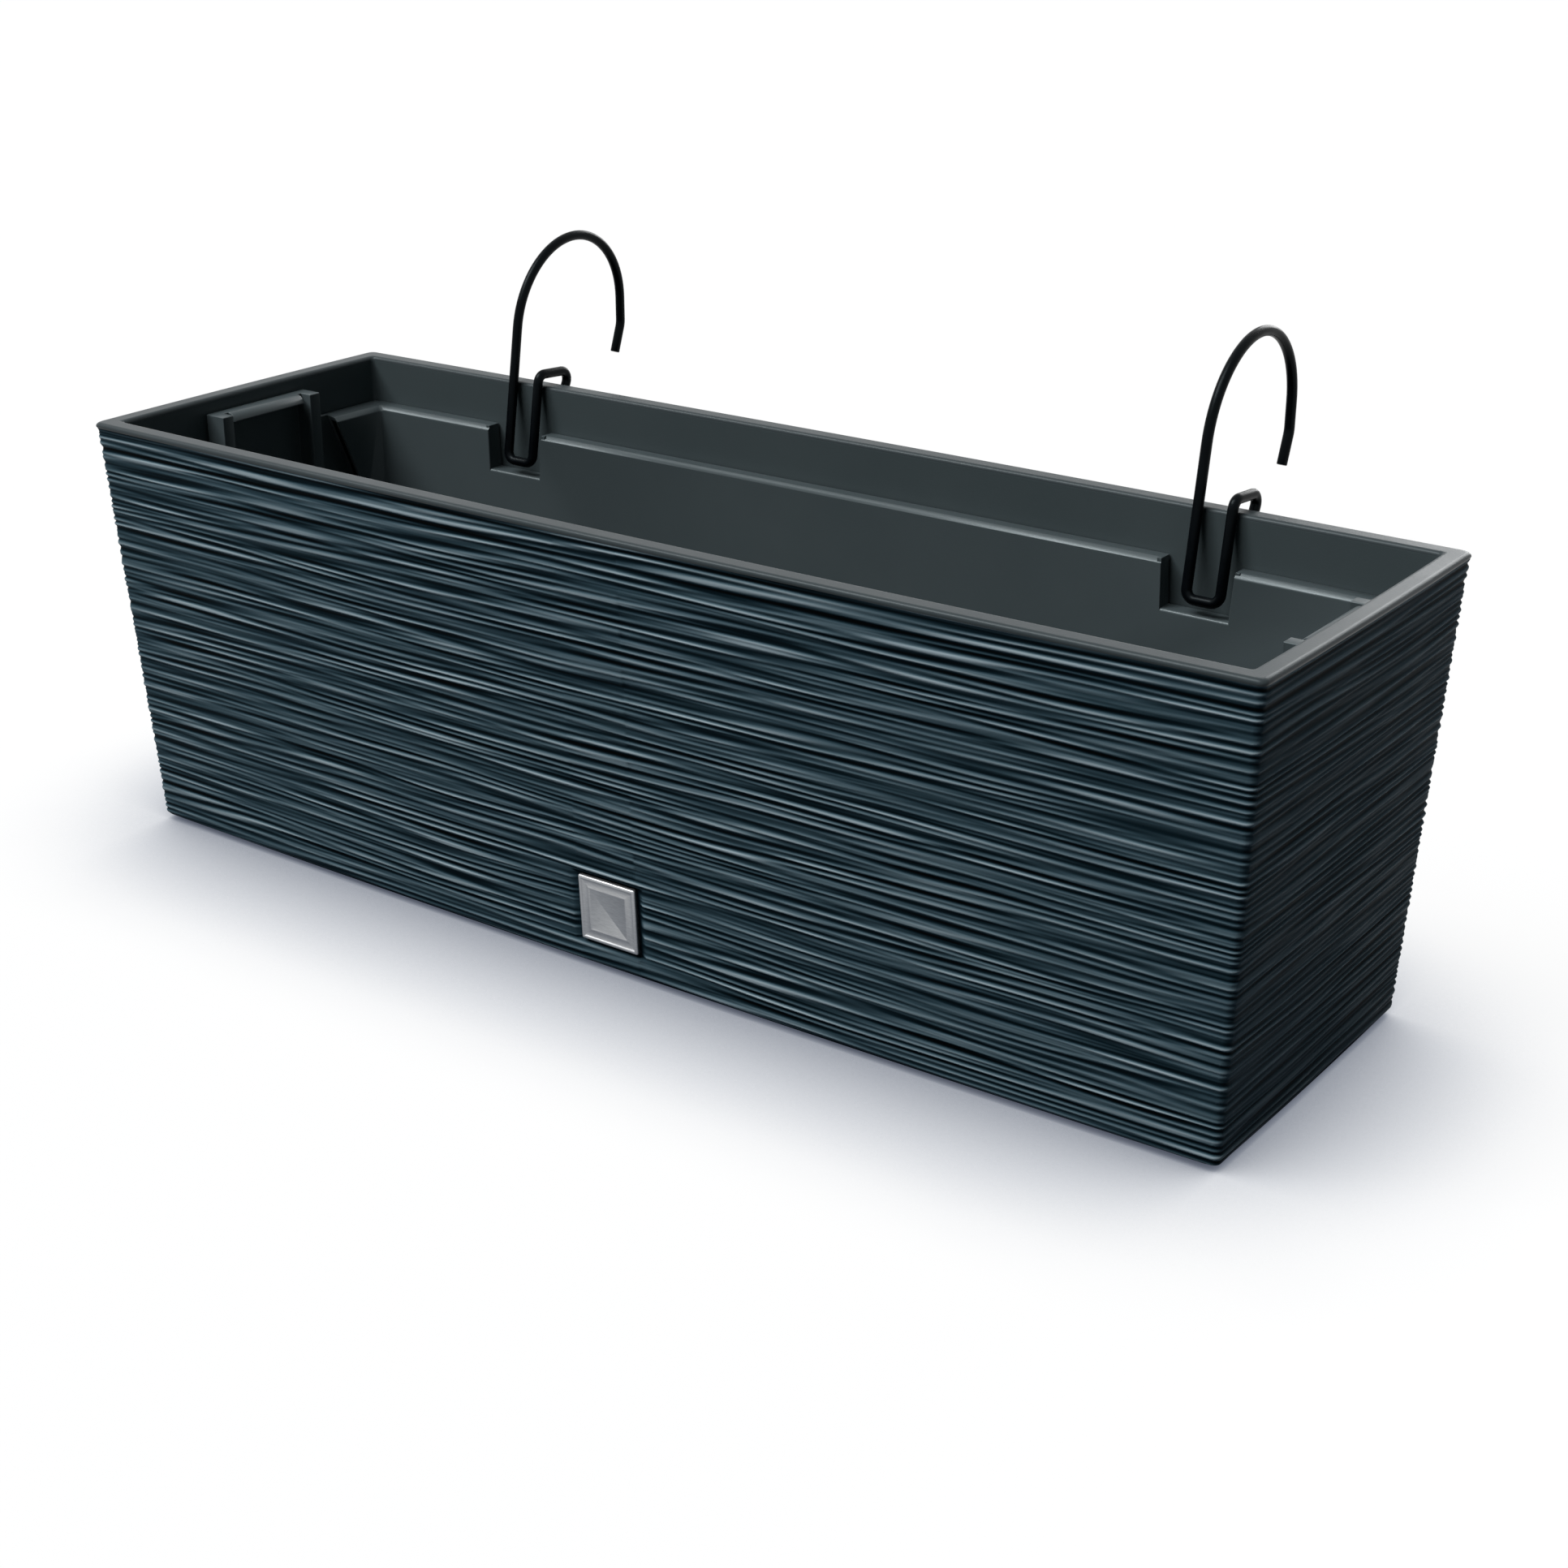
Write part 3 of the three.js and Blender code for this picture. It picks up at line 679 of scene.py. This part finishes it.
def insert_share(ends):
    """How round an edge of the insert is: lips and long edges most, and thin webs hardly at all."""
    length = (ends[0] - ends[1]).length
    if all(abs(abs(p.x) - POCKET_X) < POCKET_REACH and p.y > 0 for p in ends):
        at_lip = all(p.y < POCKET_LIP_Y and p.z > FOLD_Z - POCKET_LIP_BELOW_FOLD for p in ends)
        return 1.0 if at_lip and length > SHORT_LIP else 0.12
    if all(abs(p.x) > HALF_LENGTH - HANDLE_REACH for p in ends):
        return 0.35
    return 0.7 if length > LONG_EDGE else 0.12


def weigh_edges(work):
    """Writes each sharp edge's share of the rounding, within the room that its neighbours leave."""
    weight = work.edges.layers.float.new("bevel_weight_edge")
    for edge in work.edges:
        if len(edge.link_faces) == 2 and edge.calc_face_angle(0) > math.radians(SHARP_ANGLE):
            beside = [e.calc_length() for v in edge.verts for e in v.link_edges if e is not edge]
            room = min(beside + [edge.calc_length()]) / MM
            share = insert_share([v.co / MM for v in edge.verts])
            edge[weight] = min(share, MOST_OF_ROOM * room / INSERT_ROUNDING)


def make_insert():
    """A copy of the insert's solid whose sharp edges are rounded."""
    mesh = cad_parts["insert"].data.copy()
    mesh.name = "planter_insert"
    mesh.materials.clear()
    mesh.materials.append(INSERT)
    work = bmesh.new()
    work.from_mesh(mesh)
    bmesh.ops.remove_doubles(work, verts=work.verts, dist=1e-6)
    bmesh.ops.dissolve_limit(work, angle_limit=math.radians(1.0), verts=work.verts, edges=work.edges)
    bmesh.ops.triangulate(work, faces=[f for f in work.faces if len(f.verts) > MANY_CORNERS])
    weigh_edges(work)
    work.to_mesh(mesh)
    work.free()
    for polygon in mesh.polygons:
        polygon.use_smooth = True
        polygon.material_index = 0
    piece = bpy.data.objects.new("planter_insert", mesh)
    bpy.context.scene.collection.objects.link(piece)
    bevel = piece.modifiers.new("soft_edges", "BEVEL")
    bevel.width = INSERT_ROUNDING * MM
    bevel.segments = ROUNDING_SEGMENTS
    bevel.limit_method = "WEIGHT"
    bevel.use_clamp_overlap = False
    bevel.harden_normals = True
    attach(piece, "insert")
    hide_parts("insert")


# ---------------------------------------------------------------- badge

# Rings of the badge from its back to its middle: inset from the edge, and depth from the front.
BADGE_RINGS = [
    (0.0, 2.2), (0.0, 0.95), (0.10, 0.50), (0.40, 0.14), (0.90, 0.0), (1.25, 0.0),
    (1.55, 0.14), (1.75, 0.46), (2.0, 0.6), (4.6, 0.6), (4.9, 0.36), (5.5, 0.36), (5.8, 0.6),
]
BADGE_CORNER = 0.8
LEAST_BADGE_CORNER = 0.2
BADGE_CORNER_STEPS = 4


def make_badge():
    """A bare plate with a round front edge, a raised border and a fine square line inside it."""
    low, high = (Vector(corner) for corner in BADGE_BOX)
    lean = math.atan(LONG_LEAN / HEIGHT)
    up = Vector((0, -math.sin(lean), math.cos(lean)))
    out = Vector((0, -math.cos(lean), -math.sin(lean)))
    half = (high.x - low.x) / 2
    front = (low + high) / 2 + out * BADGE_RINGS[0][1] / 2
    vertices = []
    for margin, depth in BADGE_RINGS:
        corner = max(LEAST_BADGE_CORNER, BADGE_CORNER - margin / 2)
        reach = half - margin - corner
        for quarter in range(4):
            for i in range(BADGE_CORNER_STEPS + 1):
                angle = (quarter + i / BADGE_CORNER_STEPS) * math.pi / 2
                side_x = 1 if quarter in (0, 3) else -1
                side_z = 1 if quarter in (0, 1) else -1
                x = side_x * reach + corner * math.cos(angle)
                z = side_z * reach + corner * math.sin(angle)
                vertices.append(front + Vector((x, 0, 0)) + up * z - out * depth)
    count = 4 * (BADGE_CORNER_STEPS + 1)
    faces = [tuple(reversed(range(count)))]
    for ring in range(len(BADGE_RINGS) - 1):
        for i in range(count):
            a, b = ring * count + i, ring * count + (i + 1) % count
            faces.append((a, b, b + count, a + count))
    last = (len(BADGE_RINGS) - 1) * count
    faces.append(tuple(range(last, last + count)))
    piece = mesh_object("badge_plate", [v * MM for v in vertices], faces, BADGE)
    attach(piece, "case")
    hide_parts("badge")


make_case()
make_insert()
make_hook("hook_left", -1)
make_hook("hook_right", 1)
make_badge()


# ---------------------------------------------------------------- stage, light and camera

def make_stage():
    """A floor just under the foot. Sizes here and for the camera are in metres."""
    size = 6.0
    under_foot = 0.0002
    floor = mesh_object("stage_floor",
        [(-size, -size, 0), (size, -size, 0), (size, size, 0), (-size, size, 0)],
        [(0, 1, 2, 3)], floor_material(), smooth=False)
    floor.location.z = -under_foot


def path_choice(tree, plain, seen):
    """Camera, glossy and transmission rays get the seen shader, and all others the plain one."""
    path = tree.nodes.new("ShaderNodeLightPath")
    most = path.outputs["Is Camera Ray"]
    for name in ("Is Glossy Ray", "Is Transmission Ray"):
        either = tree.nodes.new("ShaderNodeMath")
        either.operation = "MAXIMUM"
        tree.links.new(most, either.inputs[0])
        tree.links.new(path.outputs[name], either.inputs[1])
        most = either.outputs[0]
    choose = tree.nodes.new("ShaderNodeMixShader")
    tree.links.new(most, choose.inputs["Fac"])
    tree.links.new(plain, choose.inputs[1])
    tree.links.new(seen, choose.inputs[2])
    return choose.outputs[0]


def floor_material():
    """A white floor with a soft bluish shadow. What it throws back onto the planter is dimmer."""
    m = Nodes("pale_floor")
    tree = m.tree
    m.shader.inputs["Base Color"].default_value = (0.92, 0.94, 0.97, 1)
    m.shader.inputs["Roughness"].default_value = 0.9
    m.shader.inputs["Specular IOR Level"].default_value = 0.0
    nearness = tree.nodes.new("ShaderNodeAmbientOcclusion")
    nearness.samples = 16
    nearness.inputs["Distance"].default_value = 0.11
    glow = tree.nodes.new("ShaderNodeEmission")
    glow.inputs["Strength"].default_value = 1.0
    tree.links.new(m.ramp(nearness.outputs["AO"], [
        (0.0, (0.05, 0.06, 0.09)),
        (0.4, (0.21, 0.232, 0.282)),
        (0.72, (0.66, 0.68, 0.72)),
        (0.90, (0.95, 0.955, 0.965)),
        (0.97, (1.0, 1.0, 1.0)),
    ]), glow.inputs["Color"])
    seen = tree.nodes.new("ShaderNodeMixShader")
    seen.inputs["Fac"].default_value = 0.95
    tree.links.new(m.shader.outputs[0], seen.inputs[1])
    tree.links.new(glow.outputs[0], seen.inputs[2])
    dim = tree.nodes.new("ShaderNodeBsdfDiffuse")
    dim.inputs["Color"].default_value = (0.03, 0.045, 0.06, 1)
    choice = path_choice(tree, dim.outputs[0], seen.outputs[0])
    tree.links.new(choice, tree.nodes["Material Output"].inputs["Surface"])
    return m.material


def make_world():
    world = bpy.data.worlds.new("studio")
    bpy.context.scene.world = world
    world.use_nodes = True
    tree = world.node_tree
    dim = tree.nodes["Background"]
    dim.inputs["Color"].default_value = (0.86, 0.95, 1.0, 1)
    dim.inputs["Strength"].default_value = 0.055
    white = tree.nodes.new("ShaderNodeBackground")
    white.inputs["Color"].default_value = (1, 1, 1, 1)
    white.inputs["Strength"].default_value = 1.0
    choice = path_choice(tree, dim.outputs[0], white.outputs[0])
    tree.links.new(choice, tree.nodes["World Output"].inputs["Surface"])


def sun_light(name, direction, strength, spread):
    data = bpy.data.lights.new(name, "SUN")
    data.energy = strength
    data.angle = math.radians(spread)
    light = bpy.data.objects.new(name, data)
    bpy.context.scene.collection.objects.link(light)
    light.rotation_euler = Vector(direction).to_track_quat("Z", "Y").to_euler()


def make_camera():
    azimuth = math.radians(35.92)
    elevation = math.radians(22.40)
    distance = 1.08706
    target = Vector((0.03049, 0.0, 0.06657))
    back = Vector((math.sin(azimuth) * math.cos(elevation),
        -math.cos(azimuth) * math.cos(elevation), math.sin(elevation)))
    data = bpy.data.cameras.new("camera")
    data.sensor_width = 36
    data.lens = 58.44
    camera = bpy.data.objects.new("camera", data)
    bpy.context.scene.collection.objects.link(camera)
    camera.location = target + back * distance
    camera.rotation_euler = (-back).to_track_quat("-Z", "Y").to_euler()
    bpy.context.scene.camera = camera


make_stage()
make_world()
sun_light("key", (-0.54, -0.38, 0.75), 1.1, 14)
sun_light("front", (-0.28, -0.45, 0.87), 2.7, 36)
sun_light("back_fill", (-0.1, 0.95, 0.3), 1.2, 30)
make_camera()

bpy.context.scene.view_settings.view_transform = "Standard"
